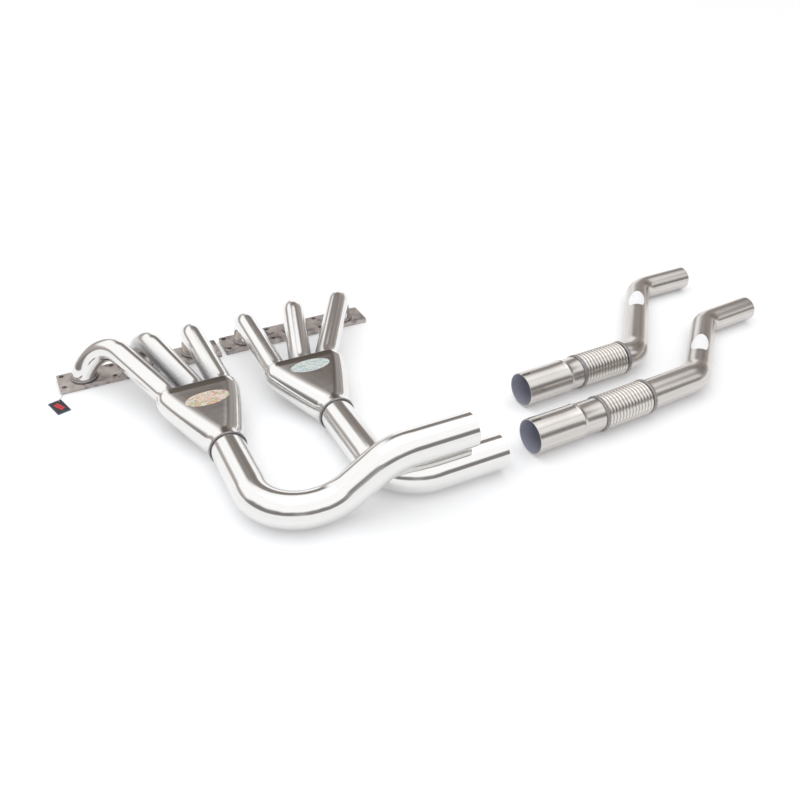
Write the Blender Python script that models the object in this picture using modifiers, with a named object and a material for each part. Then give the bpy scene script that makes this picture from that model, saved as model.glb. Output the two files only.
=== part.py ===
"""Racing exhaust system for a six-cylinder engine: two 3-into-1 tubular manifolds and two
link pipes with flexible sections, laid out on a floor. Metres, +Z up. X runs along the port
flanges, the collectors point to -Y, and the flanges lie face down on z = 0."""

import math

import bmesh
import bpy
from mathutils import Vector

MM = 0.001

# Port flanges
PORT_PITCH = 108 * MM
FLANGE_END = 50 * MM
FLANGE_WIDTH = 60 * MM
FLANGE_THICK = 10 * MM
FLANGE_EDGE_ROUND = 1.2 * MM
BOLT_HOLE = 9 * MM
BOLT_INSET = 9 * MM
FLANGE_LENGTH = 2 * FLANGE_END + 2 * PORT_PITCH
FLANGE_SPACE = 10 * MM
FRONT_FLANGE_X = 3 * MM
REAR_FLANGE_X = FRONT_FLANGE_X + FLANGE_LENGTH + FLANGE_SPACE
FRONT_FLANGE_Y = -13 * MM
REAR_FLANGE_Y = -11.5 * MM

# Tubes
PRIMARY_OD = 44.45 * MM
PRIMARY_WALL = 1.6 * MM
OUTLET_OD = 60.3 * MM
OUTLET_WALL = 1.6 * MM
OUTLET_BEND = 80 * MM
STUB_HEIGHT = 12.5 * MM
STUB_BEND = 30 * MM
PRIMARY_SIDES = 12
LARGE_SIDES = 16
CUTTER_SIDES = 20
ARC_STEP = math.radians(15)
SHORTEST_STEP = 1 * MM

# Collectors
FRONT_MOUTH_PITCH = 47.5 * MM
REAR_MOUTH_PITCH = 51 * MM
MOUTH_Y = -204 * MM
MOUTH_Z = 50 * MM
MOUTH_ALIGN = 14 * MM
ALIGN_BEND = 60 * MM
COLLECTOR_WALL = 1.6 * MM
COLLECTOR_LAP = 12 * MM
MOUTH_ROOM = 2.7 * MM
OUTLET_ROOM = 1.0 * MM
END_FACETS = 8
PLATE_INSET = 4 * MM
PLATE_THICK = 3 * MM
PLATE_CLEARANCE = 0.9 * MM
PLATE_HOLE_ROOM = 0.35 * MM
WELD_PROUD = 0.4 * MM
FRONT_COLLECTOR_LENGTH = 156 * MM
REAR_COLLECTOR_LENGTH = 146 * MM
FRONT_MOUTH_ALONG = 220.5 * MM
FRONT_OUTLET_ASIDE = 7.5 * MM
REAR_MOUTH_ALONG = 98 * MM
REAR_OUTLET_ASIDE = 5 * MM
FRONT_MOUTH_X = FRONT_FLANGE_X + FRONT_MOUTH_ALONG
FRONT_OUTLET_X = FRONT_MOUTH_X + FRONT_OUTLET_ASIDE
REAR_MOUTH_X = REAR_FLANGE_X + REAR_MOUTH_ALONG
REAR_OUTLET_X = REAR_MOUTH_X + REAR_OUTLET_ASIDE

# Outlet pipes
FRONT_TURN_Y = -561 * MM
REAR_RUN_Y = -572 * MM
RISE_START = (343 * MM, -565 * MM)
RISE_END = (434 * MM, -569 * MM)
RISE_BEND = 95 * MM
FRONT_OUTLET_END_X = 575 * MM
REAR_OUTLET_END_X = 634 * MM
PASS_GAP = 2.4 * MM

# Link pipes
SLEEVE_WALL = 1.5 * MM
SLIP_CLEARANCE = 0.2 * MM
SLEEVE_LENGTH = 98 * MM
NECK_STEP = 1.6 * MM
NECK_TAPER = 5 * MM
SLOT_LENGTH = 20 * MM
SLOT_WIDTH = 2.5 * MM
FLEX_LENGTH = 102 * MM
FLEX_OD = 64 * MM
FLEX_RIPPLES = 9
FLEX_DEPTH = 1.8 * MM
FLEX_WALL = 1.4 * MM
COLLAR_LENGTH = 7 * MM
COLLAR_OD = 66.4 * MM
COLLAR_EDGE = 1.5 * MM
INLET_COLLAR_LIP = 3 * MM
LINER_OD = 46 * MM
LINER_WALL = 1.2 * MM
LINER_SHORT = 12 * MM
LINER_LAP = 4 * MM
FLEX_TURN_ROOM = 4.5 * MM
FLEX_INLET_ROOM = 2.2 * MM
LINK_OD = 57.2 * MM
LINK_TAIL_OD = 50.6 * MM
LINK_WALL = 1.6 * MM
LINK_BEND = 58 * MM
LINK_ROOM = 0.8 * MM

# Tag on its wire
TAG_SIZE = (25 * MM, 46 * MM)
TAG_THICK = 1.2 * MM
TAG_MIDDLE = (-17 * MM, -51 * MM)
TAG_TURN = math.radians(16)
WIRE_OFFSET = 8 * MM
WIRE_OD = 1.2 * MM
WIRE_RIM_ROOM = 0.6 * MM

GAP = 0.3 * MM
FLOOR_GAP = 0.2 * MM
WELD_REACH = 3.6 * MM

# Each primary: where its arch would come to a corner, as a lean from the port and a height
FRONT_PRIMARIES = (
    {"lean": (48, 2), "top": 86.5},
    {"lean": (9, -6), "top": 86},
    {"lean": (-7, 0), "top": 76.5},
)
REAR_PRIMARIES = (
    {"lean": (-3, 0), "top": 68},
    {"lean": (0, 0), "top": 84},
    {"lean": (3, 0), "top": 73.5},
)

# Each link pipe: place of its open sleeve, direction, length of its neck, bend of the flex at
# rest, and the corners of the jog and the open end, measured from the end of the flex
LINKS = {
    "front": {
        "mouth": (700, -562),
        "turn": 1.4,
        "neck": 44,
        "flex_turn": 3.0,
        "jog": ((145, 0, -2), (331, 146, -8)),
        "end": 461,
    },
    "rear": {
        "mouth": (767.5, -433.5),
        "turn": 2.6,
        "neck": 28.5,
        "flex_turn": -1.6,
        "jog": ((42, 0, -2), (252, 227, -8)),
        "end": 384,
    },
}

STEEL = {
    "polished_tube": ((0.80, 0.79, 0.77), 0.12, 1.0),
    "brushed_tube": ((0.62, 0.58, 0.53), 0.30, 1.0),
    "flange_steel": ((0.36, 0.31, 0.27), 0.50, 1.0),
    "weld_steel": ((0.20, 0.18, 0.17), 0.45, 1.0),
    "flex_steel": ((0.66, 0.62, 0.57), 0.32, 1.0),
    "tag_card": ((0.02, 0.02, 0.02), 0.55, 0.0),
    "tag_wire": ((0.55, 0.54, 0.52), 0.35, 1.0),
}


def clear_scene():
    for obj in list(bpy.data.objects):
        bpy.data.objects.remove(obj)


def collection(name):
    made = bpy.data.collections.new(name)
    bpy.context.scene.collection.children.link(made)
    return made


def material(name):
    made = bpy.data.materials.get(name)
    if made:
        return made
    colour, roughness, metallic = STEEL[name]
    made = bpy.data.materials.new(name)
    made.use_nodes = True
    shader = made.node_tree.nodes["Principled BSDF"]
    shader.inputs["Base Color"].default_value = (*colour, 1)
    shader.inputs["Roughness"].default_value = roughness
    shader.inputs["Metallic"].default_value = metallic
    return made


def add(name, mesh, finish, parent, place=(0, 0, 0), turn=(0, 0, 0)):
    """A mesh as a named part, placed under its parent empty."""
    obj = bpy.data.objects.new(name, mesh)
    parts.objects.link(obj)
    mesh.materials.append(material(finish))
    mesh.shade_smooth()
    mesh.set_sharp_from_angle(angle=math.radians(35))
    obj.parent = parent
    obj.location = place
    obj.rotation_euler = turn
    return obj


def empty(name, parent=None, place=(0, 0, 0), turn=0.0):
    obj = bpy.data.objects.new(name, None)
    parts.objects.link(obj)
    obj.parent = parent
    obj.location = place
    obj.rotation_euler = (0, 0, turn)
    return obj


def bent_path(corners):
    """Points along straight runs joined by arcs. A corner is (point, bend radius, tube size)."""
    path = [(Vector(corners[0][0]), corners[0][2])]
    for before, corner, after in zip(corners, corners[1:], corners[2:]):
        point, bend, size = Vector(corner[0]), corner[1], corner[2]
        back = (Vector(before[0]) - point).normalized()
        ahead = (Vector(after[0]) - point).normalized()
        inside = back.angle(ahead)
        turn = math.pi - inside
        if turn < 1e-4:
            continue
        reach = bend / math.tan(inside / 2)
        centre = point + (back + ahead).normalized() * bend / math.sin(inside / 2)
        start = point + back * reach - centre
        finish = point + ahead * reach - centre
        count = max(2, math.ceil(turn / ARC_STEP))
        first_size = path[-1][1]
        for step in range(count + 1):
            share = step / count
            spoke = start * math.sin((1 - share) * turn) + finish * math.sin(share * turn)
            spot = centre + spoke / math.sin(turn)
            if (spot - path[-1][0]).length > SHORTEST_STEP:
                path.append((spot, first_size + (size - first_size) * share))
    path.append((Vector(corners[-1][0]), corners[-1][2]))
    return path


def bend_to_reach(before, corner, after, reach):
    """The bend radius whose arc starts this far before the corner."""
    inside = (before - corner).angle(after - corner)
    return reach * math.tan(inside / 2)


def tube(name, corners, wall, finish, parent, sides):
    """An open tube: a swept outer surface given its wall inwards. Its origin is its first corner."""
    origin = Vector(corners[0][0])
    path = bent_path(corners)
    curve = bpy.data.curves.new(name, "CURVE")
    curve.dimensions = "3D"
    curve.twist_mode = "MINIMUM"
    curve.bevel_depth = 1.0
    curve.bevel_resolution = (sides - 4) // 2
    curve.use_fill_caps = False
    spline = curve.splines.new("POLY")
    spline.points.add(len(path) - 1)
    for node, (point, size) in zip(spline.points, path):
        node.co = (*(point - origin), 1)
        node.radius = size / 2
    guide = bpy.data.objects.new(name + "_guide", curve)
    guides.objects.link(guide)
    graph = bpy.context.evaluated_depsgraph_get()
    mesh = bpy.data.meshes.new_from_object(guide.evaluated_get(graph))
    mesh.materials.clear()
    mesh.name = name
    bpy.data.objects.remove(guide)
    obj = add(name, mesh, finish, parent, origin)
    skin = obj.modifiers.new("wall", "SOLIDIFY")
    skin.thickness = wall
    skin.offset = -1
    skin.use_even_offset = True
    return obj


def turned(name, profile, finish, parent, place, turn=(0, 0, 0), steps=LARGE_SIDES):
    """A ring turned about its own Z. The profile of (radius, height) runs down its outer side."""
    mesh = bpy.data.meshes.new(name)
    points = [(radius, 0, height) for radius, height in profile]
    loop = [(i, (i + 1) % len(points)) for i in range(len(points))]
    mesh.from_pydata(points, loop, [])
    obj = add(name, mesh, finish, parent, place, turn)
    screw = obj.modifiers.new("turn", "SCREW")
    screw.steps = steps
    screw.render_steps = steps
    screw.use_merge_vertices = True
    screw.merge_threshold = 0.1 * MM
    return obj


def cylinder_cutter(name, radius, depth, parent, place, turn=(0, 0, 0), sides=CUTTER_SIDES):
    shape = bmesh.new()
    bmesh.ops.create_cone(
        shape, cap_ends=True, segments=sides, radius1=radius, radius2=radius, depth=depth
    )
    mesh = bpy.data.meshes.new(name)
    shape.to_mesh(mesh)
    shape.free()
    return cutter(name, mesh, parent, place, turn)


def cutter(name, mesh, parent, place, turn=(0, 0, 0)):
    obj = bpy.data.objects.new(name, mesh)
    cutters.objects.link(obj)
    obj.parent = parent
    obj.location = place
    obj.rotation_euler = turn
    obj.hide_render = True
    obj.display_type = "WIRE"
    return obj


def cut(obj, tool):
    step = obj.modifiers.new(tool.name, "BOOLEAN")
    step.operation = "DIFFERENCE"
    step.solver = "EXACT"
    step.object = tool


def box_mesh(name, size):
    shape = bmesh.new()
    bmesh.ops.create_cube(shape, size=1)
    bmesh.ops.scale(shape, vec=size, verts=shape.verts)
    mesh = bpy.data.meshes.new(name)
    shape.to_mesh(mesh)
    shape.free()
    return mesh


def clear_of(radius, sides):
    """The corner radius of a ring of flat sides that clears a round piece of this radius."""
    return radius / math.cos(math.pi / sides) + GAP / 2


def port_x(index):
    return FLANGE_END + index * PORT_PITCH


def flange(name, parent, place):
    """The bar that bolts to the cylinder head, with three ports and eight bolt holes."""
    length = FLANGE_LENGTH
    middle = (place[0] + length / 2, place[1] + FLANGE_WIDTH / 2, FLANGE_THICK / 2)
    bar = add(name, box_mesh(name, (length, FLANGE_WIDTH, FLANGE_THICK)), "flange_steel", parent, middle)
    deep = 3 * FLANGE_THICK
    hole = clear_of(PRIMARY_OD / 2, CUTTER_SIDES) + GAP / 2
    for index in range(3):
        spot = (place[0] + port_x(index), place[1] + FLANGE_WIDTH / 2, FLANGE_THICK / 2)
        cut(bar, cylinder_cutter(f"{name}_port_{index + 1}", hole, deep, parent, spot))
    stations = [BOLT_INSET, port_x(0.5), port_x(1.5), length - BOLT_INSET]
    for column, across in enumerate(stations):
        for row, along in enumerate((BOLT_INSET, FLANGE_WIDTH - BOLT_INSET)):
            spot = (place[0] + across, place[1] + along, FLANGE_THICK / 2)
            tool = f"{name}_bolt_{column + 1}_{row + 1}"
            cut(bar, cylinder_cutter(tool, BOLT_HOLE / 2, deep, parent, spot, sides=12))
    rounded = bar.modifiers.new("edges", "BEVEL")
    rounded.width = FLANGE_EDGE_ROUND
    rounded.segments = 1
    rounded.limit_method = "ANGLE"
    rounded.angle_limit = math.radians(60)
    bar.modifiers.move(len(bar.modifiers) - 1, 0)
    return bar


def primaries(side, specs, parent, place, mouth_x, pitch):
    """Three header tubes: up out of their ports, over, and side by side into the collector."""
    for index, spec in enumerate(specs):
        port = Vector((place[0] + port_x(index), place[1] + FLANGE_WIDTH / 2, FLANGE_THICK * 0.1))
        mouth = mouth_x + (index - 1) * pitch
        top = Vector((port.x + spec["lean"][0] * MM, port.y + spec["lean"][1] * MM, spec["top"] * MM))
        stub = Vector((port.x, port.y, FLANGE_THICK + STUB_HEIGHT))
        align = Vector((mouth, MOUTH_Y + MOUTH_ALIGN, MOUTH_Z))
        end = Vector((mouth, MOUTH_Y - COLLECTOR_LAP, MOUTH_Z))
        corners = [(port, 0, PRIMARY_OD)]
        reach = (top - stub).length
        if any(spec["lean"]):
            corners.append((stub, STUB_BEND, PRIMARY_OD))
            reach -= STUB_BEND / math.tan((port - stub).angle(top - stub) / 2)
        arch = bend_to_reach(stub, top, align, reach)
        corners += [(top, arch, PRIMARY_OD), (align, ALIGN_BEND, PRIMARY_OD), (end, 0, PRIMARY_OD)]
        tube(f"{side}_primary_{index + 1}", corners, PRIMARY_WALL, "polished_tube", parent, PRIMARY_SIDES)
        inner = clear_of(PRIMARY_OD / 2, PRIMARY_SIDES)
        fillet = [(inner, WELD_REACH), (inner + 0.4 * WELD_REACH, 0.45 * WELD_REACH)]
        fillet += [(inner + WELD_REACH, 0), (inner, 0)]
        foot = (port.x, port.y, FLANGE_THICK + GAP)
        turned(f"{side}_port_weld_{index + 1}", fillet, "weld_steel", parent, foot, steps=PRIMARY_SIDES)


def obround(half_length, radius, count):
    """Points round a slot shape in its own plane, an even number on each round end."""
    ring = []
    for side, start in ((1, -90), (-1, 90)):
        for step in range(count + 1):
            angle = math.radians(start + 180 * step / count)
            ring.append((side * half_length + radius * math.cos(angle), radius * math.sin(angle)))
    return ring


def collector(side, parent, mouth_x, pitch, outlet_x, length, axis_z):
    """The 3-into-1 shell, lofted from a long slot at its mouth to a round outlet."""
    name = f"{side}_collector"
    mouth_radius = PRIMARY_OD / 2 + MOUTH_ROOM + COLLECTOR_WALL
    outlet_radius = OUTLET_OD / 2 + OUTLET_ROOM + COLLECTOR_WALL
    skirt = (COLLECTOR_LAP + 2 * MM) / length
    blends = (0, 0.22, 0.44, 0.68, 1)
    stations = [(0, 0)]
    stations += [(skirt + (1 - 2 * skirt) * i / (len(blends) - 1), share) for i, share in enumerate(blends)]
    stations += [(1, 1)]
    shape = bmesh.new()
    rings = []
    for along, blend in stations:
        shift = min(max((along - skirt) / (1 - 2 * skirt), 0), 1)
        middle = Vector((
            mouth_x + (outlet_x - mouth_x) * shift,
            MOUTH_Y - length * along,
            MOUTH_Z + (axis_z - MOUTH_Z) * shift,
        ))
        radius = mouth_radius + (outlet_radius - mouth_radius) * blend
        half_length = max(pitch * (1 - blend), 0.2 * MM)
        section = obround(half_length, radius, END_FACETS)
        rings.append([shape.verts.new(middle + Vector((x, 0, z))) for x, z in section])
    for near, far in zip(rings, rings[1:]):
        for i in range(len(near)):
            j = (i + 1) % len(near)
            shape.faces.new((near[i], near[j], far[j], far[i]))
    bmesh.ops.recalc_face_normals(shape, faces=shape.faces)
    outward = shape.faces[0].calc_center_median() - Vector((mouth_x, MOUTH_Y, MOUTH_Z))
    if shape.faces[0].normal.dot(outward) < 0:
        bmesh.ops.reverse_faces(shape, faces=shape.faces)
    mesh = bpy.data.meshes.new(name)
    shape.to_mesh(mesh)
    shape.free()
    shell = add(name, mesh, "polished_tube", parent)
    skin = shell.modifiers.new("wall", "SOLIDIFY")
    skin.thickness = COLLECTOR_WALL
    skin.offset = -1
    skin.use_even_offset = True
    merge_plate(side, parent, mouth_x, pitch, mouth_radius - COLLECTOR_WALL - PLATE_CLEARANCE)


def merge_plate(side, parent, mouth_x, pitch, radius):
    """The web inside the collector's mouth that joins the three tubes to the shell."""
    name = f"{side}_merge_plate"
    thick = PLATE_THICK
    middle = Vector((mouth_x, MOUTH_Y - PLATE_INSET, MOUTH_Z))
    curve = bpy.data.curves.new(name, "CURVE")
    curve.dimensions = "2D"
    curve.fill_mode = "BOTH"
    curve.extrude = thick / 2
    spline = curve.splines.new("POLY")
    outline = obround(pitch, radius, END_FACETS)
    spline.points.add(len(outline) - 1)
    for node, (x, y) in zip(spline.points, outline):
        node.co = (x, y, 0, 1)
    spline.use_cyclic_u = True
    guide = bpy.data.objects.new(name + "_guide", curve)
    guides.objects.link(guide)
    graph = bpy.context.evaluated_depsgraph_get()
    mesh = bpy.data.meshes.new_from_object(guide.evaluated_get(graph))
    bpy.data.objects.remove(guide)
    shape = bmesh.new()
    shape.from_mesh(mesh)
    bmesh.ops.remove_doubles(shape, verts=shape.verts, dist=0.01 * MM)
    shape.to_mesh(mesh)
    shape.free()
    mesh.materials.clear()
    upright = (math.radians(90), 0, 0)
    plate = add(name, mesh, "weld_steel", parent, middle, upright)
    for index in (-1, 0, 1):
        spot = middle + Vector((index * pitch, 0, 0))
        tool = cylinder_cutter(
            f"{name}_hole_{index + 2}", PRIMARY_OD / 2 + PLATE_HOLE_ROOM, 6 * thick, parent, spot, upright
        )
        cut(plate, tool)


def outlet_weld(side, parent, outlet_x, end_y, axis_z):
    """The seam round the tube where it leaves the collector."""
    inner = clear_of(OUTLET_OD / 2, LARGE_SIDES)
    outer = OUTLET_OD / 2 + OUTLET_ROOM + COLLECTOR_WALL + WELD_PROUD
    profile = [(outer - 1.5 * MM, 5 * MM), (outer, 3.5 * MM), (outer, 1 * MM), (outer - 1.0 * MM, 0)]
    profile += [(inner, 0), (inner, 6 * MM)]
    place = (outlet_x, end_y - GAP, axis_z)
    turned(f"{side}_outlet_weld", profile, "weld_steel", parent, place, (math.radians(90), 0, 0))


def manifold_outlets(front, rear, axis_z):
    """Both outlet pipes: -Y out of the collector, then along +X, the front over the rear."""
    over_z = axis_z + OUTLET_OD + PASS_GAP
    front_start = MOUTH_Y - FRONT_COLLECTOR_LENGTH + COLLECTOR_LAP
    rear_start = MOUTH_Y - REAR_COLLECTOR_LENGTH + COLLECTOR_LAP
    front_corners = (
        ((FRONT_OUTLET_X, front_start, axis_z), 0, OUTLET_OD),
        ((FRONT_OUTLET_X, FRONT_TURN_Y, axis_z), OUTLET_BEND, OUTLET_OD),
        ((*RISE_START, axis_z), RISE_BEND, OUTLET_OD),
        ((*RISE_END, over_z), RISE_BEND, OUTLET_OD),
        ((FRONT_OUTLET_END_X, RISE_END[1], over_z), 0, OUTLET_OD),
    )
    tube("front_outlet_tube", front_corners, OUTLET_WALL, "polished_tube", front, LARGE_SIDES)
    rear_corners = (
        ((REAR_OUTLET_X, rear_start, axis_z), 0, OUTLET_OD),
        ((REAR_OUTLET_X, REAR_RUN_Y, axis_z), OUTLET_BEND, OUTLET_OD),
        ((REAR_OUTLET_END_X, REAR_RUN_Y, axis_z), 0, OUTLET_OD),
    )
    tube("rear_outlet_tube", rear_corners, OUTLET_WALL, "polished_tube", rear, LARGE_SIDES)


def link_pipe(side, spec, root):
    """One link pipe: slip sleeve and neck, flex between two collars, then the jogged tube."""
    axis_z = COLLAR_OD / 2 + FLOOR_GAP
    place = (spec["mouth"][0] * MM, spec["mouth"][1] * MM, axis_z)
    body = empty(f"{side}_link", root, place, math.radians(spec["turn"]))
    along = (0, math.radians(90), 0)
    bore = OUTLET_OD / 2 + SLIP_CLEARANCE
    outer = bore + SLEEVE_WALL
    neck_end = SLEEVE_LENGTH + spec["neck"] * MM
    taper_end = SLEEVE_LENGTH + NECK_TAPER
    profile = [
        (outer - NECK_STEP, neck_end),
        (outer - NECK_STEP, taper_end),
        (outer, SLEEVE_LENGTH),
        (outer, 0),
        (bore, 0),
        (bore, SLEEVE_LENGTH - SLEEVE_WALL),
        (bore - NECK_STEP, taper_end - SLEEVE_WALL),
        (bore - NECK_STEP, neck_end),
    ]
    sleeve = turned(f"{side}_link_sleeve", profile, "brushed_tube", body, (0, 0, 0), along)
    slot = box_mesh(f"{side}_sleeve_slot", (2 * SLOT_LENGTH, SLOT_WIDTH, 6 * SLEEVE_WALL))
    cut(sleeve, cutter(f"{side}_sleeve_slot", slot, body, (0, 0, bore)))

    collar_inner = clear_of(LINK_OD / 2, LARGE_SIDES)
    rim = COLLAR_OD / 2
    collar = [(rim - COLLAR_EDGE, COLLAR_LENGTH), (rim, COLLAR_LENGTH - COLLAR_EDGE)]
    collar += [(rim, COLLAR_EDGE), (rim - COLLAR_EDGE, 0)]
    lip = collar_inner - INLET_COLLAR_LIP
    inlet_ring = collar + [(lip, 0), (lip, COLLAR_LENGTH)]
    inlet_at = neck_end + GAP
    turned(f"{side}_flex_inlet_collar", inlet_ring, "weld_steel", body, (inlet_at, 0, 0), along)

    flex_from = inlet_at + COLLAR_LENGTH
    flex_middle = flex_from + FLEX_LENGTH / 2
    half_turn = math.radians(spec["flex_turn"]) / 2
    length = FLEX_LENGTH - FLEX_TURN_ROOM - FLEX_INLET_ROOM
    low = FLEX_INLET_ROOM - FLEX_LENGTH / 2
    pitch = length / (2 * FLEX_RIPPLES)
    ripples = []
    for index in range(2 * FLEX_RIPPLES + 1):
        crest = FLEX_OD / 2 - (FLEX_DEPTH if index % 2 == 0 else 0)
        ripples.append((crest, low + length - index * pitch))
    floor_radius = FLEX_OD / 2 - FLEX_DEPTH - FLEX_WALL
    ripples += [(floor_radius, low), (floor_radius, low + length)]
    bellows = turned(f"{side}_flex_bellows", ripples, "flex_steel", body, (flex_middle, 0, 0), along)
    bellows.rotation_euler = (0, math.radians(90), half_turn)
    liner_end = flex_from + FLEX_LENGTH - FLEX_TURN_ROOM - LINER_SHORT
    liner_outer, liner_inner = LINER_OD / 2, LINER_OD / 2 - LINER_WALL
    flare = bore - NECK_STEP - GAP
    liner = [
        (liner_outer, liner_end),
        (liner_outer, flex_from - COLLAR_LENGTH),
        (flare, neck_end - LINER_LAP),
        (flare - LINER_WALL, neck_end - LINER_LAP),
        (liner_inner, flex_from - COLLAR_LENGTH + LINER_WALL),
        (liner_inner, liner_end),
    ]
    turned(f"{side}_flex_liner", liner, "brushed_tube", body, (0, 0, 0), along)

    tail = empty(f"{side}_link_tail", body, (flex_middle, 0, 0), math.radians(spec["flex_turn"]))
    outlet_ring = collar + [(collar_inner, 0), (collar_inner, COLLAR_LENGTH)]
    turned(f"{side}_flex_outlet_collar", outlet_ring, "weld_steel", tail, (FLEX_LENGTH / 2, 0, 0), along)
    flex_end = Vector((FLEX_LENGTH / 2, 0, 0))
    corners = [(flex_end + Vector((LINK_ROOM, 0, 0)), 0, LINK_OD)]
    size = LINK_TAIL_OD
    for corner in spec["jog"]:
        corners.append((flex_end + Vector(corner) * MM, LINK_BEND, size))
    last = spec["jog"][-1]
    corners.append((flex_end + Vector((spec["end"], last[1], last[2])) * MM, 0, LINK_TAIL_OD))
    tube(f"{side}_link_tube", corners, LINK_WALL, "brushed_tube", tail, LARGE_SIDES)


def tag(root, place):
    """A card tag on a wire from the flange's corner bolt hole, lying on the floor."""
    hole = Vector((place[0] + BOLT_INSET, place[1] + BOLT_INSET, 0))
    pivot = empty("tag_swivel", root, hole)
    radius = WIRE_OD / 2
    low = radius + FLOOR_GAP
    rim = -BOLT_INSET - radius - WIRE_RIM_ROOM
    high = FLANGE_THICK + radius + WIRE_RIM_ROOM
    across = Vector((math.cos(TAG_TURN), math.sin(TAG_TURN), 0))
    upward = Vector((-across.y, across.x, 0))
    past_card = TAG_SIZE[1] / 2 + radius + GAP
    card_end = Vector((*TAG_MIDDLE, low)) + upward * past_card + across * WIRE_OFFSET
    points = (
        (0, 0, FLANGE_THICK / 5),
        (0, 0, high),
        (0.3 * card_end.x, rim, high),
        (0.4 * card_end.x, rim - 2 * radius, low + 2 * radius),
        card_end,
    )
    curve = bpy.data.curves.new("tag_wire", "CURVE")
    curve.dimensions = "3D"
    curve.bevel_depth = radius
    curve.bevel_resolution = 1
    curve.use_fill_caps = True
    spline = curve.splines.new("POLY")
    spline.points.add(len(points) - 1)
    for node, point in zip(spline.points, points):
        node.co = (*point, 1)
    wire = bpy.data.objects.new("tag_wire", curve)
    parts.objects.link(wire)
    curve.materials.append(material("tag_wire"))
    wire.parent = pivot
    card = add("tag_card", box_mesh("tag_card", (*TAG_SIZE, TAG_THICK)), "tag_card", pivot)
    card.rotation_euler = (0, 0, TAG_TURN)
    card.location = (*TAG_MIDDLE, TAG_THICK / 2 + FLOOR_GAP)


def centre_on_floor(root):
    """Moves everything so that the origin is under the middle of the whole layout."""
    bpy.context.view_layer.update()
    graph = bpy.context.evaluated_depsgraph_get()
    low = Vector((1e9, 1e9, 1e9))
    high = -low
    for obj in parts.objects:
        if obj.type == "EMPTY":
            continue
        ready = obj.evaluated_get(graph)
        shape = ready.to_mesh()
        for vertex in shape.vertices:
            spot = ready.matrix_world @ vertex.co
            low = Vector(map(min, low, spot))
            high = Vector(map(max, high, spot))
        ready.to_mesh_clear()
    root.location = (-(low.x + high.x) / 2, -(low.y + high.y) / 2, -low.z)


clear_scene()
parts = collection("racing_exhaust_system")
cutters = collection("cutters")
guides = collection("guides")

root = empty("exhaust_frame")
front_manifold = empty("front_manifold", root)
rear_manifold = empty("rear_manifold", root)
outlet_axis_z = OUTLET_OD / 2 + OUTLET_ROOM + COLLECTOR_WALL + WELD_PROUD + FLOOR_GAP

front_place = (FRONT_FLANGE_X, FRONT_FLANGE_Y)
flange("front_flange", front_manifold, front_place)
primaries("front", FRONT_PRIMARIES, front_manifold, front_place, FRONT_MOUTH_X, FRONT_MOUTH_PITCH)
collector(
    "front", front_manifold, FRONT_MOUTH_X, FRONT_MOUTH_PITCH,
    FRONT_OUTLET_X, FRONT_COLLECTOR_LENGTH, outlet_axis_z,
)
outlet_weld("front", front_manifold, FRONT_OUTLET_X, MOUTH_Y - FRONT_COLLECTOR_LENGTH, outlet_axis_z)

rear_place = (REAR_FLANGE_X, REAR_FLANGE_Y)
flange("rear_flange", rear_manifold, rear_place)
primaries("rear", REAR_PRIMARIES, rear_manifold, rear_place, REAR_MOUTH_X, REAR_MOUTH_PITCH)
collector(
    "rear", rear_manifold, REAR_MOUTH_X, REAR_MOUTH_PITCH,
    REAR_OUTLET_X, REAR_COLLECTOR_LENGTH, outlet_axis_z,
)
outlet_weld("rear", rear_manifold, REAR_OUTLET_X, MOUTH_Y - REAR_COLLECTOR_LENGTH, outlet_axis_z)

manifold_outlets(front_manifold, rear_manifold, outlet_axis_z)
for link_side, link_spec in LINKS.items():
    link_pipe(link_side, link_spec, root)
tag(root, front_place)
centre_on_floor(root)
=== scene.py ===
# A polished racing exhaust for a straight-six: two manifolds and two link pipes, laid out on a pale floor.
import math

import bmesh
import bpy
from mathutils import Matrix, Vector, noise
from mathutils.bvhtree import BVHTree
from mathutils.kdtree import KDTree
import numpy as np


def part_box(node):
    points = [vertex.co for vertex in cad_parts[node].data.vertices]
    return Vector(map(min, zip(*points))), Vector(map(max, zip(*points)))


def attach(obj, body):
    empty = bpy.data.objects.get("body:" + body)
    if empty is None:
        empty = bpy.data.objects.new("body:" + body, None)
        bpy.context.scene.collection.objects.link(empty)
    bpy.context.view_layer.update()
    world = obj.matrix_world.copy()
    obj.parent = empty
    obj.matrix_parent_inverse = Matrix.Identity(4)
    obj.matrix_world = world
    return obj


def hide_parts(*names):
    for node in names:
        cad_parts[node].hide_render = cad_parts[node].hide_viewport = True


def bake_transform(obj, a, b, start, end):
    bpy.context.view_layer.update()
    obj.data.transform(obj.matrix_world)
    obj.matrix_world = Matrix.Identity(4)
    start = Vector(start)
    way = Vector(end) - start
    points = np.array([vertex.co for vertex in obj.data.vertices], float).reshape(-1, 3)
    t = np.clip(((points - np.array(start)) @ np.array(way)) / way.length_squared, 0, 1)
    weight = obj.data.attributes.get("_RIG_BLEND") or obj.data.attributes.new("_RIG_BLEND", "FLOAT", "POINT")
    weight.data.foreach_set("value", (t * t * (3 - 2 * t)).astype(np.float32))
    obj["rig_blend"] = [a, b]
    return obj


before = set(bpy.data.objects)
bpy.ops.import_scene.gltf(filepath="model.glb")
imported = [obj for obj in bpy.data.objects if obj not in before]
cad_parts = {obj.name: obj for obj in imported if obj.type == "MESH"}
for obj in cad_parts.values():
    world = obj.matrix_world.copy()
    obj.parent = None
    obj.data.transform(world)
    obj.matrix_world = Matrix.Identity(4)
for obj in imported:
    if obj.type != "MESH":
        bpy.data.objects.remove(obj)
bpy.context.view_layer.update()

mm = 0.001
scene = bpy.context.scene

# the layout's own zero: the design's places are measured from it, in millimetres
flangeCorner = (3, -13, 0)
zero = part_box("front_flange")[0] - Vector(flangeCorner) * mm


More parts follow.
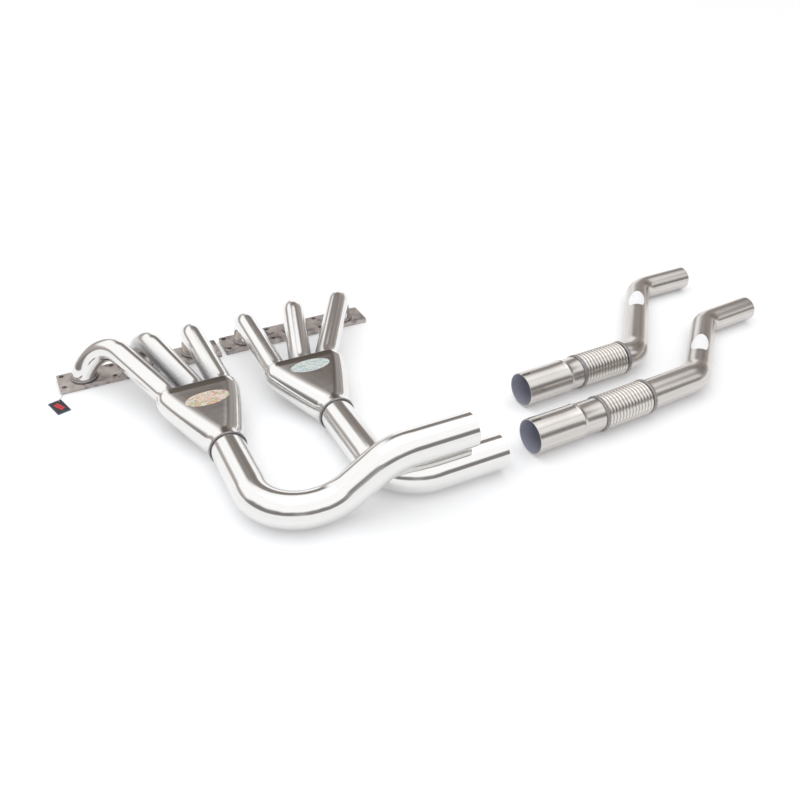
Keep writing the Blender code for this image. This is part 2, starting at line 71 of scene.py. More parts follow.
def spot(x, y, z=0.0):
    return zero + Vector((x, y, z)) * mm


view = {"place": (11, -1438, 851), "turn": -26.7, "down": 34.18, "lens": 36, "sensor": 36}

camera = bpy.data.objects.new("camera", bpy.data.cameras.new("camera"))
scene.collection.objects.link(camera)
camera.location = spot(*view["place"])
camera.rotation_euler = (math.radians(90 - view["down"]), 0, math.radians(view["turn"]))
camera.data.lens = view["lens"]
camera.data.sensor_width = view["sensor"]
scene.camera = camera
print("camera placed")


class Wire:
    # a value in a material, so that sums can be written as sums
    def __init__(self, paint, socket):
        self.paint = paint
        self.socket = socket

    def join(self, operation, *values):
        return self.paint.make("ShaderNodeMath", {"operation": operation}, dict(enumerate(values)))

    def __add__(self, other):
        return self.join("ADD", self, other)

    def __radd__(self, other):
        return self.join("ADD", other, self)

    def __sub__(self, other):
        return self.join("SUBTRACT", self, other)

    def __rsub__(self, other):
        return self.join("SUBTRACT", other, self)

    def __mul__(self, other):
        return self.join("MULTIPLY", self, other)

    def __rmul__(self, other):
        return self.join("MULTIPLY", other, self)

    def most(self, other):
        return self.join("MAXIMUM", self, other)

    def away(self, middle=0.0):
        # how far the value is from middle, either way
        return self.join("ABSOLUTE", self - middle if middle else self)

    def clip(self):
        return self.paint.make("ShaderNodeClamp", {}, {"Value": self})

    def ramp(self, *stops):
        return self.paint.make("ShaderNodeValToRGB", {"stops": stops}, {"Fac": self})

    def step(self, low, high):
        # 0 below low, 1 above high, smooth between
        return self.paint.make(
            "ShaderNodeMapRange",
            {"interpolation_type": "SMOOTHSTEP"},
            {"Value": self, "From Min": low, "From Max": high},
        )


class Paint:
    # the nodes of one material, or of the world
    def __init__(self, owner, shader="Principled BSDF"):
        owner.use_nodes = True
        self.owner = owner
        self.tree = owner.node_tree
        self.shader = self.tree.nodes[shader]

    def make(self, kind, settings, sockets, output=0):
        node = self.tree.nodes.new(kind)
        for key, value in settings.items():
            if key == "stops":
                self.setStops(node.color_ramp, value)
            else:
                setattr(node, key, value)
        for key, value in sockets.items():
            self.feed(node.inputs[key], value)
        return Wire(self, node.outputs[output])

    def feed(self, socket, value):
        if isinstance(value, Wire):
            self.tree.links.new(value.socket, socket)
        elif socket.type == "RGBA" and len(value) == 3:
            socket.default_value = (*value, 1)
        else:
            socket.default_value = value

    def setStops(self, ramp, stops):
        while len(ramp.elements) < len(stops):
            ramp.elements.new(0.5)
        for element, (place, tone) in zip(ramp.elements, stops):
            element.position = place
            element.color = (tone, tone, tone, 1) if isinstance(tone, (int, float)) else (*tone, 1)

    def place(self):
        return self.make("ShaderNodeTexCoord", {}, {}, "Object")

    def mark(self, name, output="Fac"):
        return self.make("ShaderNodeAttribute", {"attribute_name": name}, {}, output)

    def stretched(self, vector, scale):
        return self.make("ShaderNodeMapping", {}, {"Vector": vector, "Scale": scale})

    def noise(self, vector, scale, detail=4.0, rough=0.55):
        return self.make(
            "ShaderNodeTexNoise", {}, {"Vector": vector, "Scale": scale, "Detail": detail, "Roughness": rough}
        )

    def parts(self, vector):
        node = self.make("ShaderNodeSeparateXYZ", {}, {"Vector": vector}).socket.node
        return [Wire(self, output) for output in node.outputs]

    def mix(self, share, first, second, blend="MIX"):
        return self.make(
            "ShaderNodeMix", {"data_type": "RGBA", "blend_type": blend}, {0: share, 6: first, 7: second}, 2
        )

    def bump(self, height, strength, distance):
        return self.make(
            "ShaderNodeBump", {}, {"Height": height, "Strength": strength, "Distance": distance}
        )

    def coat(self, **values):
        # Base_Color=... sets the socket "Base Color"
        for key, value in values.items():
            self.feed(self.shader.inputs[key.replace("_", " ")], value)
        return self.owner


def newPaint(name):
    return Paint(bpy.data.materials.new(name))


# how steel colours beside a weld: straw, brown, blue, then grey
heatTint = (
    (0.0, (0.60, 0.56, 0.50)), (0.35, (0.45, 0.34, 0.20)), (0.6, (0.24, 0.15, 0.13)),
    (0.8, (0.10, 0.12, 0.22)), (1.0, (0.07, 0.07, 0.08)),
)
polish = {
    # web: a dark tone painted on the collector's flat web as its reflection
    "light": (0.84, 0.835, 0.825), "shade": (0.76, 0.75, 0.735), "web": (0.30, 0.27, 0.25),
    # bore: the inside of the tubes, darkened with painted shade
    # lip: the crevice mark's speckled tones, partly duller steel and partly painted shade
    "lip": ((0.3, (0.16, 0.16, 0.17)), (0.7, (0.58, 0.58, 0.60))), "bore": (0.16, 0.15, 0.15),
    "roughness": 0.07, "bump": (0.16, 0.0012),
}


def polishedFinish():
    # hand-polished stainless: near mirror, slightly wavy, with fine lines along the tube
    paint = newPaint("polished_tube")
    place = paint.place()
    skin = paint.mark("skin", "Vector")
    lines = paint.noise(paint.stretched(skin, (26, 26, 9)), 3.0, 5.0, 0.7)
    waves = paint.noise(place, 34.0, 2.0, 0.4)
    cloud = paint.noise(place, 11.0, 3.0, 0.5)
    # the crevice mark: duller, rougher steel where tubes nearly meet and along the collector's lip, its colour
    # darkened there with painted shade
    crevice = (paint.mark("crevice") * (0.55 + paint.noise(place, 210.0, 4.0, 0.75) * 0.9)).clip()
    heat = (paint.mark("heat") * (0.7 + cloud * 0.6)).clip()
    inside = paint.mark("inside")
    base = paint.mix(lines.step(0.3, 0.7), polish["light"], polish["shade"])
    # painted reflection: the collector's flat web is darkened to stand in for the dark room it mirrors
    base = paint.mix(paint.mark("web") * (0.72 + cloud * 0.3), base, polish["web"])
    base = paint.mix(heat, base, heat.ramp(*heatTint))
    rough = paint.noise(place, 420.0, 3.0, 0.8)
    base = paint.mix(crevice * 0.8, base, rough.ramp(*polish["lip"]))
    # inside the tubes: rougher steel, and a dark tone painted as shade
    base = paint.mix(inside * 0.9, base, polish["bore"])
    shine = polish["roughness"] + lines * 0.05 + cloud * 0.04 + crevice * 0.33 + inside * 0.28 + heat * 0.12
    height = waves * 0.6 + lines * 0.05 + rough * crevice * 0.7
    return paint.coat(
        Base_Color=base, Metallic=1.0, Roughness=shine, Normal=paint.bump(height, *polish["bump"])
    )


brushed = {
    "brushed_tube": {"light": (0.72, 0.695, 0.67), "shade": (0.58, 0.555, 0.53), "wave": 0.3},
    "flex_steel": {"light": (0.80, 0.775, 0.74), "shade": (0.70, 0.665, 0.63), "wave": 0.1},
    # crevice: painted shade for the valleys of the bellows
    "stain": (0.47, 0.42, 0.385), "crevice": (0.17, 0.155, 0.14),
    # bore: light bluish greys, painted inside the tube as reflected light
    "bore": ((0.38, 0.40, 0.49), (0.50, 0.51, 0.60)), "roughness": 0.15, "bump": (0.14, 0.0006),
}


def brushedFinish(name):
    # satin stainless, brushed along its length with a warm stain
    paint = newPaint(name)
    place = paint.place()
    skin = paint.mark("skin", "Vector")
    lines = paint.noise(paint.stretched(skin, (40, 40, 5)), 3.0, 6.0, 0.75)
    bands = paint.noise(paint.stretched(skin, (2.6, 2.6, 1.2)), 2.0, 2.0, 0.5)
    cloud = paint.noise(place, 16.0, 3.0, 0.5)
    heat = (paint.mark("heat") * (0.7 + cloud * 0.6)).clip()
    inside = paint.mark("inside")
    base = paint.mix(lines.step(0.25, 0.75), brushed[name]["light"], brushed[name]["shade"])
    base = paint.mix(bands.step(0.4, 0.72) * 0.5, base, brushed["stain"])
    base = paint.mix(heat, base, heat.ramp(*heatTint))
    # painted shade: the crevice mark darkens the bellows' valleys
    base = paint.mix(paint.mark("crevice") * 0.75, base, brushed["crevice"])
    # painted reflection: inside, light bluish greys and little metal stand in for the light seen in the bore
    base = paint.mix(inside * 0.93, base, paint.mix(lines, *brushed["bore"]))
    shine = brushed["roughness"] + lines * 0.1 + cloud * 0.05 + inside * 0.2
    height = lines * 0.35 + cloud * brushed[name]["wave"]
    metal = 1 - inside * 0.85
    return paint.coat(
        Base_Color=base, Metallic=metal, Roughness=shine, Normal=paint.bump(height, *brushed["bump"])
    )


weldTones = (
    (0.30, (0.50, 0.46, 0.42)), (0.45, (0.36, 0.31, 0.27)),
    (0.57, (0.27, 0.28, 0.34)), (0.72, (0.62, 0.59, 0.56)),
)


def weldFinish():
    # rippled weld bead with a dark heat tint, brighter on its crests
    paint = newPaint("weld_steel")
    place = paint.place()
    grain = paint.noise(place, 900.0, 4.0, 0.7)
    tint = paint.noise(place, 230.0, 4.0, 0.75)
    base = tint.ramp(*weldTones)
    return paint.coat(
        Base_Color=base, Metallic=1.0, Roughness=0.28 + grain * 0.28, Normal=paint.bump(grain, 0.35, 0.0004)
    )


plateTones = {
    "blot": ((0.32, (0.30, 0.26, 0.24)), (0.5, (0.47, 0.42, 0.39)), (0.68, (0.60, 0.55, 0.52))),
    "scorch": ((0.5, (0.34, 0.20, 0.12)), (0.6, (0.13, 0.13, 0.19)), (0.72, (0.08, 0.07, 0.07))),
    "grain": (0.66, 0.62, 0.59),
}


def barFinish():
    # cut steel plate: mottled brown grey, with a blue and straw bloom round each port
    paint = newPaint("flange_steel")
    place = paint.place()
    blot = paint.noise(place, 42.0, 5.0, 0.65)
    grain = paint.noise(paint.stretched(place, (30, 600, 600)), 1.0, 4.0, 0.7)
    heat = (paint.mark("heat") * (0.55 + blot * 0.9)).clip()
    base = blot.ramp(*plateTones["blot"])
    base = paint.mix(grain.step(0.35, 0.75) * 0.35, base, plateTones["grain"])
    base = paint.mix(heat, base, heat.ramp(*heatTint))
    scorch = paint.noise(place, 24.0, 4.0, 0.7)
    base = paint.mix(scorch.step(0.52, 0.66) * 0.7, base, scorch.ramp(*plateTones["scorch"]))
    height = grain * 0.4 + blot * 0.6
    return paint.coat(
        Base_Color=base, Metallic=1.0, Roughness=0.30 + blot * 0.22, Normal=paint.bump(height, 0.35, 0.0006)
    )


def foilFinish(name, tones):
    # a holographic foil label: many small glints of shifting colour
    paint = newPaint(name)
    place = paint.place()
    chips = paint.make("ShaderNodeTexVoronoi", {}, {"Vector": place, "Scale": 520.0}, "Color")
    hue = paint.parts(chips)[0]
    swirl = paint.noise(place, 95.0, 4.0, 0.7)
    base = (hue * 0.6 + swirl * 0.55).clip().ramp(*tones)
    strokes = paint.make(
        "ShaderNodeTexWave",
        {"wave_type": "RINGS"},
        {"Vector": place, "Scale": 60.0, "Distortion": 9.0, "Detail": 3.0},
    )
    base = paint.mix(strokes.step(0.62, 0.85) * 0.45, base, (0.85, 0.86, 0.84))
    return paint.coat(
        Base_Color=base, Metallic=0.35, Roughness=0.22 + swirl * 0.3, Normal=paint.bump(hue, 0.3, 0.0003)
    )


def stickerFinish():
    # white paper with faint lines of print, too small to read
    paint = newPaint("paper_sticker")
    place = paint.place()
    fibre = paint.noise(place, 700.0, 3.0, 0.6)
    lines = paint.make(
        "ShaderNodeTexWave", {"bands_direction": "Y"}, {"Vector": place, "Scale": 75.0, "Distortion": 1.0}
    )
    base = paint.mix(fibre, (0.90, 0.90, 0.92), (0.97, 0.97, 0.98))
    base = paint.mix(lines.step(0.82, 0.92) * 0.28, base, (0.55, 0.56, 0.62))
    return paint.coat(Base_Color=base, Roughness=0.45 + fibre * 0.1, Normal=paint.bump(fibre, 0.1, 0.0002))


# the card's emblem, in halves of the card: two slanted bars, each with soft edges
emblem = {
    "slope": 0.45, "bars": ((-0.20, -0.04), (0.24, 0.06)), "width": (0.17, 0.14), "length": (0.52, 0.49),
    "red": (0.72, 0.02, 0.035), "rim": (0.03, 0.10, 0.16), "card": ((0.006, 0.006, 0.008), (0.022, 0.022, 0.026)),
}


def cardFinish():
    # black printed card with a plain red emblem of two slanted bars and a bluish edge
    paint = newPaint("tag_card")
    face = paint.mark("face", "Vector")
    across, along, _ = paint.parts(face)
    slant = across + along * emblem["slope"]
    bars = [
        slant.away(aside).step(*emblem["width"]) * along.away(middle).step(*emblem["length"])
        for aside, middle in emblem["bars"]
    ]
    grain = paint.noise(paint.place(), 800.0, 3.0, 0.6)
    rim = across.away().most(along.away()).step(0.82, 0.95)
    base = paint.mix(grain, *emblem["card"])
    base = paint.mix((bars[0] + bars[1]).clip(), base, emblem["red"])
    base = paint.mix(rim * 0.8, base, emblem["rim"])
    return paint.coat(Base_Color=base, Roughness=0.32 + grain * 0.15, Normal=paint.bump(grain, 0.12, 0.0002))


def wireFinish():
    # plain bright wire
    paint = newPaint("tag_wire")
    grain = paint.noise(paint.place(), 500.0, 3.0, 0.6)
    base = paint.mix(grain, (0.52, 0.51, 0.50), (0.72, 0.71, 0.70))
    return paint.coat(Base_Color=base, Metallic=1.0, Roughness=0.25 + grain * 0.2)


def floorFinish():
    # pale paper floor that glows slightly, so that it stays white
    paint = newPaint("studio_floor")
    place = paint.place()
    cloud = paint.noise(place, 1.1, 3.0, 0.5)
    grain = paint.noise(place, 90.0, 3.0, 0.6)
    base = paint.mix(cloud, (0.92, 0.935, 0.955), (0.94, 0.945, 0.955))
    return paint.coat(
        Base_Color=base, Roughness=0.6 + grain * 0.1,
        Emission_Color=(1, 1, 1), Emission_Strength=studio["floorGlow"],
    )


warmFoil = (
    (0.18, (0.78, 0.10, 0.14)), (0.34, (0.85, 0.62, 0.25)), (0.50, (0.22, 0.55, 0.32)),
    (0.68, (0.86, 0.30, 0.42)), (0.86, (0.80, 0.84, 0.78)),
)
coolFoil = (
    (0.20, (0.22, 0.50, 0.55)), (0.38, (0.62, 0.76, 0.66)), (0.53, (0.28, 0.40, 0.64)),
    (0.70, (0.78, 0.74, 0.50)), (0.88, (0.70, 0.80, 0.84)),
)
finishes = {
    "polished_tube": polishedFinish(),
    "brushed_tube": brushedFinish("brushed_tube"),
    "flex_steel": brushedFinish("flex_steel"),
    "weld_steel": weldFinish(),
    "flange_steel": barFinish(),
    "front_foil": foilFinish("front_foil", warmFoil),
    "rear_foil": foilFinish("rear_foil", coolFoil),
    "paper": stickerFinish(),
    "tag_card": cardFinish(),
    "tag_wire": wireFinish(),
}
print("finishes made")



def isVert(thing):
    return isinstance(thing, bmesh.types.BMVert)


def smooth(value, low, high):
    share = min(max((value - low) / (high - low), 0), 1)
    return share * share * (3 - 2 * share)


def bendPath(corners, arcStep=4.0, longest=9.0):
    # straight runs joined by arcs; a corner is (point, bend radius, tube radius), all in metres
    path = [(corners[0][0], corners[0][2])]
    for before, corner, after in zip(corners, corners[1:], corners[2:]):
        point, bend, size = corner
        back = (before[0] - point).normalized()
        ahead = (after[0] - point).normalized()
        inside = back.angle(ahead)
        turn = math.pi - inside
        if turn < 1e-4:
            continue
        reach = bend / math.tan(inside / 2)
        centre = point + (back + ahead).normalized() * bend / math.sin(inside / 2)
        start = point + back * reach - centre
        finish = point + ahead * reach - centre
        count = max(3, math.ceil(math.degrees(turn) / arcStep))
        firstSize = path[-1][1]
        for step in range(count + 1):
            share = step / count
            spoke = start * math.sin((1 - share) * turn) + finish * math.sin(share * turn)
            path.append((centre + spoke / math.sin(turn), firstSize + (size - firstSize) * share))
    path.append((corners[-1][0], corners[-1][2]))
    filled = [path[0]]
    for point, size in path[1:]:
        last, lastSize = filled[-1]
        gap = (point - last).length
        if gap < 0.6 * mm:
            continue
        pieces = math.ceil(gap / (longest * mm))
        for step in range(1, pieces + 1):
            share = step / pieces
            filled.append((last.lerp(point, share), lastSize + (size - lastSize) * share))
    return filled


def framesAlong(points):
    # an upright frame at each point, with its own Z along the path and no twist
    frames = []
    lastAhead = None
    for index, point in enumerate(points):
        ahead = (points[min(index + 1, len(points) - 1)] - points[max(index - 1, 0)]).normalized()
        if lastAhead is None:
            turn = Vector((0, 0, 1)).rotation_difference(ahead)
        else:
            turn = lastAhead.rotation_difference(ahead) @ turn
        lastAhead = ahead
        frames.append(Matrix.Translation(point) @ turn.to_matrix().to_4x4())
    return frames


def skinnedMesh():
    # a mesh with the layers that the steel finishes read
    mesh = bmesh.new()
    skin = mesh.verts.layers.float_vector.new("skin")
    for name in ("inside", "heat", "crevice"):
        mesh.verts.layers.float.new(name)
    return mesh, skin, mesh.verts.layers.float["inside"]


def drawnOn(mesh, edges):
    # draws the open end of a tube on: its new ring and that ring's edges
    grown = bmesh.ops.extrude_edge_only(mesh, edges=edges)["geom"]
    ring = [thing for thing in grown if isVert(thing)]
    ends = set(ring)
    return ring, [
        thing for thing in grown if isinstance(thing, bmesh.types.BMEdge) and ends.issuperset(thing.verts)
    ]


def sweep(stations, segments):
    # one ring drawn through every station (place, radius, distance along, inside), and closed on itself
    mesh, skin, inside = skinnedMesh()
    ring = bmesh.ops.create_circle(mesh, segments=segments, radius=1)["verts"]
    edges = list(mesh.edges)
    firstEdges = edges
    now = Matrix.Identity(4)
    for number, (place, radius, along, inner) in enumerate(stations):
        if number:
            ring, edges = drawnOn(mesh, edges)
        else:
            for vert in ring:
                vert[skin] = (vert.co.x, vert.co.y, 0)
        target = place @ Matrix.Scale(radius, 4)
        bmesh.ops.transform(mesh, matrix=target @ now.inverted(), verts=ring)
        now = target
        for vert in ring:
            vert[skin] = (vert[skin][0], vert[skin][1], along)
            vert[inside] = inner
    bmesh.ops.bridge_loops(mesh, edges=edges + firstEdges)
    return mesh


def marked(mesh, name, rule):
    layer = mesh.verts.layers.float[name]
    for vert in mesh.verts:
        vert[layer] = rule(vert)


def fading(distance, reach):
    return math.exp(-((distance / reach) ** 2))


def heatFrom(mesh, places):
    # heat fades with the distance from each (place, reach)
    def rule(vert):
        return max(fading((vert.co - place).length, reach) for place, reach in places)
    marked(mesh, "heat", rule)


def placed(name, mesh):
    data = bpy.data.meshes.new(name)
    mesh.to_mesh(data)
    mesh.free()
    thing = bpy.data.objects.new(name, data)
    scene.collection.objects.link(thing)
    return thing


def finished(name, mesh, finish, body, nodes=(), slot=None, sharp=32):
    bmesh.ops.recalc_face_normals(mesh, faces=mesh.faces)
    if mesh.calc_volume(signed=True) < 0:
        bmesh.ops.reverse_faces(mesh, faces=mesh.faces)
    piece = placed(name, mesh)
    piece.data.shade_smooth()
    piece.data.set_sharp_from_angle(angle=math.radians(sharp))
    piece.data.materials.append(finishes[finish])
    if body:
        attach(piece, body)
    if nodes:
        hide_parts(*nodes)
    slot or finish
    return piece


def pipeStations(path, wall, edge=0.3 * mm):
    # out along the outside and back along the inside, with both rims eased
    frames = framesAlong([point for point, size in path])
    lengths = [0.0]
    for (before, _), (after, _) in zip(path, path[1:]):
        lengths.append(lengths[-1] + (after - before).length)
    total = lengths[-1]
    inward = Matrix.Translation((0, 0, edge))
    outward = Matrix.Translation((0, 0, -edge))
    first, last = frames[0], frames[-1]
    firstSize, lastSize = path[0][1], path[-1][1]
    stations = [(first, firstSize - edge, 0, 0), (first @ inward, firstSize, edge, 0)]
    middle = [(place, size, along) for place, (_, size), along in zip(frames, path, lengths)][1:-1]
    stations += [(place, size, along, 0) for place, size, along in middle]
    stations += [(last @ outward, lastSize, total - edge, 0), (last, lastSize - edge, total, 0)]
    stations += [(last, lastSize - wall + edge, total, 0.5), (last @ outward, lastSize - wall, total, 1)]
    stations += [(place, size - wall, along, 1) for place, size, along in reversed(middle)]
    stations += [(first @ inward, firstSize - wall, edge, 1), (first, firstSize - wall + edge, 0, 0.5)]
    return stations


bead = {"segments": 10, "stepsEach": 5, "base": 0.78, "ripple": 0.30, "wobble": 0.22, "slant": 0.25}


def weldBead(place, ringRadius, width, height, ripples, seed):
    # a ring of overlapping ripples, like stacked coins, round the Z of place
    mesh = bmesh.new()
    section = bmesh.ops.create_circle(mesh, segments=bead["segments"], radius=1)["verts"]
    upright = Matrix.Rotation(math.radians(90), 4, "X")
    aside = Matrix.Translation((ringRadius, 0, 0)) @ Matrix.Diagonal((height, 1, width, 1))
    bmesh.ops.transform(mesh, matrix=aside @ upright, verts=section)
    bmesh.ops.spin(
        mesh, geom=mesh.edges[:], cent=(0, 0, 0), axis=(0, 0, 1),
        angle=math.tau, steps=ripples * bead["stepsEach"], use_merge=True,
    )
    for vert in mesh.verts:
        turn = math.atan2(vert.co.y, vert.co.x)
        hub = Vector((math.cos(turn), math.sin(turn), 0)) * ringRadius
        arm = vert.co - hub
        phase = turn * ripples / math.tau + arm.z / width * bead["slant"]
        saw = phase - math.floor(phase)
        wobble = noise.noise(Vector((math.cos(turn) * 3, math.sin(turn) * 3, seed)))
        swell = bead["base"] + bead["ripple"] * (1 - (2 * saw - 1) ** 2) + bead["wobble"] * wobble
        vert.co = hub + arm * swell
    bmesh.ops.transform(mesh, matrix=place, verts=mesh.verts)
    return mesh


def alongAxis(start, ahead):
    turn = Vector((0, 0, 1)).rotation_difference(ahead)
    return Matrix.Translation(start) @ turn.to_matrix().to_4x4()


def slid(place, distance):
    return place @ Matrix.Translation((0, 0, distance))


ports = {"pitch": 108, "end": 50, "width": 60, "thick": 10, "bolt": 9, "inset": 9, "edge": 1.0}
tubes = {
    "primary": 22.225, "primaryWall": 1.6, "outlet": 30.15, "outletWall": 1.6, "stub": 12.5, "stubBend": 30,
    "outletBend": 80, "riseBend": 95,
}
mouth = {
    "y": -204, "z": 50, "align": 14, "bend": 60, "lap": 12, "room": 2.7, "outRoom": 1.0,
    "wall": 1.6, "seam": 0.4, "clear": 0.2,
}
# each ring of weld: how far up or along it sits, how far out, its half width and height, and its ripples
welds = {
    "port": {"along": 1.6, "out": 1.2, "width": 2.6, "height": 2.6, "ripples": 34, "seed": 3.1},
    "outlet": {"along": 1.2, "out": 1.5, "width": 2.3, "height": 1.6, "ripples": 52, "seed": 5.0},
    "collar": {"inset": 2.6, "lap": 1.08, "height": 2.3, "ripples": 44, "seed": 2.0},
}
heats = {"foot": 26, "mouth": 16, "seam": 5, "outlet": 7, "port": 11, "neck": 7, "flex": 6, "tail": 30}
outletHeight = tubes["outlet"] + mouth["outRoom"] + mouth["wall"] + mouth["seam"] + mouth["clear"]
manifolds = {
    "front": {
        "corner": (3, -13), "mouthX": 223.5, "pitch": 47.5, "outletX": 231, "length": 156,
        "primaries": (((48, 2), 86.5), ((9, -6), 86), ((-7, 0), 76.5)),
        "outletEnd": 575, "runY": -569, "riseFrom": 343, "riseTo": 434, "passGap": 2.4,
    },
    "rear": {
        "corner": (329, -11.5), "mouthX": 427, "pitch": 51, "outletX": 432, "length": 146,
        "primaries": (((-3, 0), 68), ((0, 0), 84), ((3, 0), 73.5)),
        "outletEnd": 634, "runY": -572,
    },
}


def portSpot(side, index, height=0.0):
    cornerX, cornerY = manifolds[side]["corner"]
    return spot(cornerX + ports["end"] + index * ports["pitch"], cornerY + ports["width"] / 2, height)


def bendFor(before, corner, after, reach):
    # the bend radius whose arc starts this far from the corner
    return reach * math.tan((before - corner).angle(after - corner) / 2)


def primaryPath(side, index):
    spec = manifolds[side]
    (leanX, leanY), top = spec["primaries"][index]
    size = tubes["primary"] * mm
    port = portSpot(side, index, 1)
    stub = portSpot(side, index, ports["thick"] + tubes["stub"])
    peak = portSpot(side, index, top) + Vector((leanX, leanY, 0)) * mm
    across = spec["mouthX"] + (index - 1) * spec["pitch"]
    align = spot(across, mouth["y"] + mouth["align"], mouth["z"])
    end = spot(across, mouth["y"] - mouth["lap"], mouth["z"])
    corners = [(port, 0, size)]
    reach = (peak - stub).length
    if leanX or leanY:
        corners.append((stub, tubes["stubBend"] * mm, size))
        reach -= tubes["stubBend"] * mm / math.tan((port - stub).angle(peak - stub) / 2)
    corners += [
        (peak, bendFor(stub, peak, align, reach), size),
        (align, mouth["bend"] * mm, size),
        (end, 0, size),
    ]
    return bendPath(corners)


dullShadeReach = {"near": 6, "far": 34}  # tubes this close to each other are duller between, and darkened there with painted shade


def buildPrimaries(side):
    body = f"{side}_manifold"
    paths = [primaryPath(side, index) for index in range(3)]
    weld = welds["port"]
    for index, path in enumerate(paths):
        mesh = sweep(pipeStations(path, tubes["primaryWall"] * mm), 64)
        beside = [other for other in (index - 1, index + 1) if 0 <= other < 3]
        others = [point for other in beside for point, _ in paths[other]]
        tree = KDTree(len(others))
        for number, point in enumerate(others):
            tree.insert(point, number)
        tree.balance()
        insideLayer = mesh.verts.layers.float["inside"]

        # duller steel and painted shade where a neighbouring tube comes close
        def rule(vert):
            gap = (tree.find(vert.co)[2] / mm) - tubes["primary"]
            return (1 - smooth(gap, dullShadeReach["near"], dullShadeReach["far"])) * (1 - vert[insideLayer])

        marked(mesh, "crevice", rule)
        foot = portSpot(side, index, ports["thick"])
        heatFrom(mesh, [(foot, heats["foot"] * mm), (path[-1][0], heats["mouth"] * mm)])
        node = f"{side}_primary_{index + 1}"
        finished(node + "_tube", mesh, "polished_tube", body, [node])
        place = alongAxis(foot + Vector((0, 0, weld["along"] * mm)), Vector((0, 0, 1)))
        mesh = weldBead(
            place, (tubes["primary"] + weld["out"]) * mm, weld["width"] * mm, weld["height"] * mm,
            weld["ripples"], index * weld["seed"],
        )
        node = f"{side}_port_weld_{index + 1}"
        finished(node + "_bead", mesh, "weld_steel", body, [node], sharp=60)


def slotOutline(index, count, flats):
    # where a ring's point sits: (share along the flat, across, up); lobes at both ends, flats between
    lobe = (count - 2 * flats) // 2
    half = lobe + flats
    side = 1 if index < half else -1
    step = index % half
    if step < lobe:
        turn = math.radians(-90 + 180 * step / (lobe - 1))
        return side, side * math.cos(turn), side * math.sin(turn)
    share = 1 - 2 * (step - lobe + 1) / (flats + 1)
    return side * share, 0, side


# rings closer together over the lip, then even steps between the two skirts
shellShape = {
    "lipRings": (1.4, 2.2), "skirt": 2, "steps": 22, "blend": 1.12, "edge": 0.35, "count": 84, "flats": 7,
}
# web: how far across the flat web the painted dark reflection reaches
shellMarks = {"web": (0.05, 0.3), "webScale": 30, "lip": (1.4, 2.2), "heat": 0.75}


def collectorRings(side):
    # (middle, half of the flat's length, radius, distance along) from the slot mouth to the round outlet
    spec = manifolds[side]
    length = spec["length"]
    mouthRadius = tubes["primary"] + mouth["room"] + mouth["wall"]
    outRadius = tubes["outlet"] + mouth["outRoom"] + mouth["wall"]
    skirt = (mouth["lap"] + shellShape["skirt"]) / length
    steps = shellShape["steps"]
    shares = [0] + [ring / length for ring in shellShape["lipRings"]] + [skirt / 2]
    shares += [skirt + (1 - 2 * skirt) * step / steps for step in range(steps + 1)]
    rings = []
    for along in shares + [1 - skirt / 2, 1]:
        shift = min(max((along - skirt) / (1 - 2 * skirt), 0), 1)
        blend = shift ** shellShape["blend"]
        middle = spot(
            spec["mouthX"] + (spec["outletX"] - spec["mouthX"]) * shift,
            mouth["y"] - length * along,
            mouth["z"] + (outletHeight - mouth["z"]) * shift,
        )
        radius = mouthRadius + (outRadius - mouthRadius) * blend
        rings.append((middle, max(spec["pitch"] * (1 - blend), 0.2), radius, length * along))
    return rings


def buildCollector(side):
    body = f"{side}_manifold"
    rings = collectorRings(side)
    edge, wall = shellShape["edge"], mouth["wall"]
    stations = [(rings[0], edge, 0)] + [(ring, 0, 0) for ring in rings[1:-1]] + [(rings[-1], edge, 0)]
    stations += [(ring, wall, 1) for ring in reversed(rings)]
    count, flats = shellShape["count"], shellShape["flats"]
    mesh, skin, inside = skinnedMesh()
    form = mesh.verts.layers.float_vector.new("form")
    # a mask of the collector's flat web, where a dark reflection is painted
    web = mesh.verts.layers.float.new("web")
    ring = bmesh.ops.create_circle(mesh, segments=count, radius=1)["verts"]
    for index, vert in enumerate(ring):
        vert[form] = slotOutline(index, count, flats)
    edges = list(mesh.edges)
    firstEdges = edges
    for number, ((middle, half, radius, along), less, inner) in enumerate(stations):
        if number:
            ring, edges = drawnOn(mesh, edges)
        size = radius - less
        for vert in ring:
            share, across, up = vert[form]
            vert.co = middle + Vector((half * share + size * across, 0, size * up)) * mm
            vert[skin] = (across + share * half / shellMarks["webScale"], up, along * mm)
            vert[inside] = inner
            vert[web] = (1 - smooth(abs(across), *shellMarks["web"])) * (1 - inner)
    bmesh.ops.bridge_loops(mesh, edges=edges + firstEdges)
    outlet = spot(manifolds[side]["outletX"], mouth["y"] - manifolds[side]["length"], outletHeight)

    def rule(vert):
        return shellMarks["heat"] * fading(outlet.y - vert.co.y, heats["seam"] * mm)

    marked(mesh, "heat", rule)
    # a thin band along the mouth's lip: rougher steel, with a dark line painted as the shade at its step
    lip = spot(0, mouth["y"]).y
    near, far = shellMarks["lip"]
    marked(mesh, "crevice", lambda vert: 1 - smooth(lip - vert.co.y, near * mm, far * mm))
    piece = finished(f"{side}_collector_shell", mesh, "polished_tube", body, [f"{side}_collector"], sharp=40)
    weld = welds["outlet"]
    place = alongAxis(outlet + Vector((0, -weld["along"] * mm, 0)), Vector((0, -1, 0)))
    mesh = weldBead(
        place, (tubes["outlet"] + weld["out"]) * mm, weld["width"] * mm, weld["height"] * mm,
        weld["ripples"], weld["seed"],
    )
    finished(f"{side}_outlet_weld_bead", mesh, "weld_steel", body, [f"{side}_outlet_weld"], sharp=60)
    return piece


